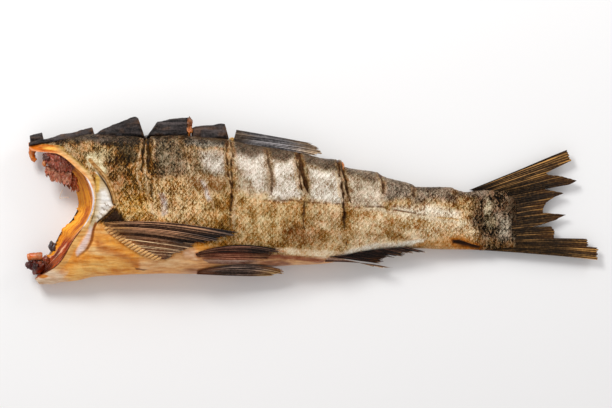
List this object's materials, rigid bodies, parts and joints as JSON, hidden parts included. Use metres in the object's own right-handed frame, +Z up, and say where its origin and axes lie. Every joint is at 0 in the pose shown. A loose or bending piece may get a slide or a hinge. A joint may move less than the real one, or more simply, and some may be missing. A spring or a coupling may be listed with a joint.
{
  "type": "smoked fish",
  "caption": "Whole smoked fish, gutted and without its head, lying on its side, its back scored across and its dried fins torn.",
  "frame": {"origin": "on the table under the middle of the fish's bounding box", "axes": "+X towards the tail, +Y towards the back, +Z up through the left side, which faces up"},
  "size_m": [0.458, 0.1326, 0.0525],
  "materials": {
    "smoked_skin": "satin, scaly smoked skin"
  },
  "bodies": {
    "root": {"smoked_fish": "smoked_skin"}
  },
  "joints": []
}
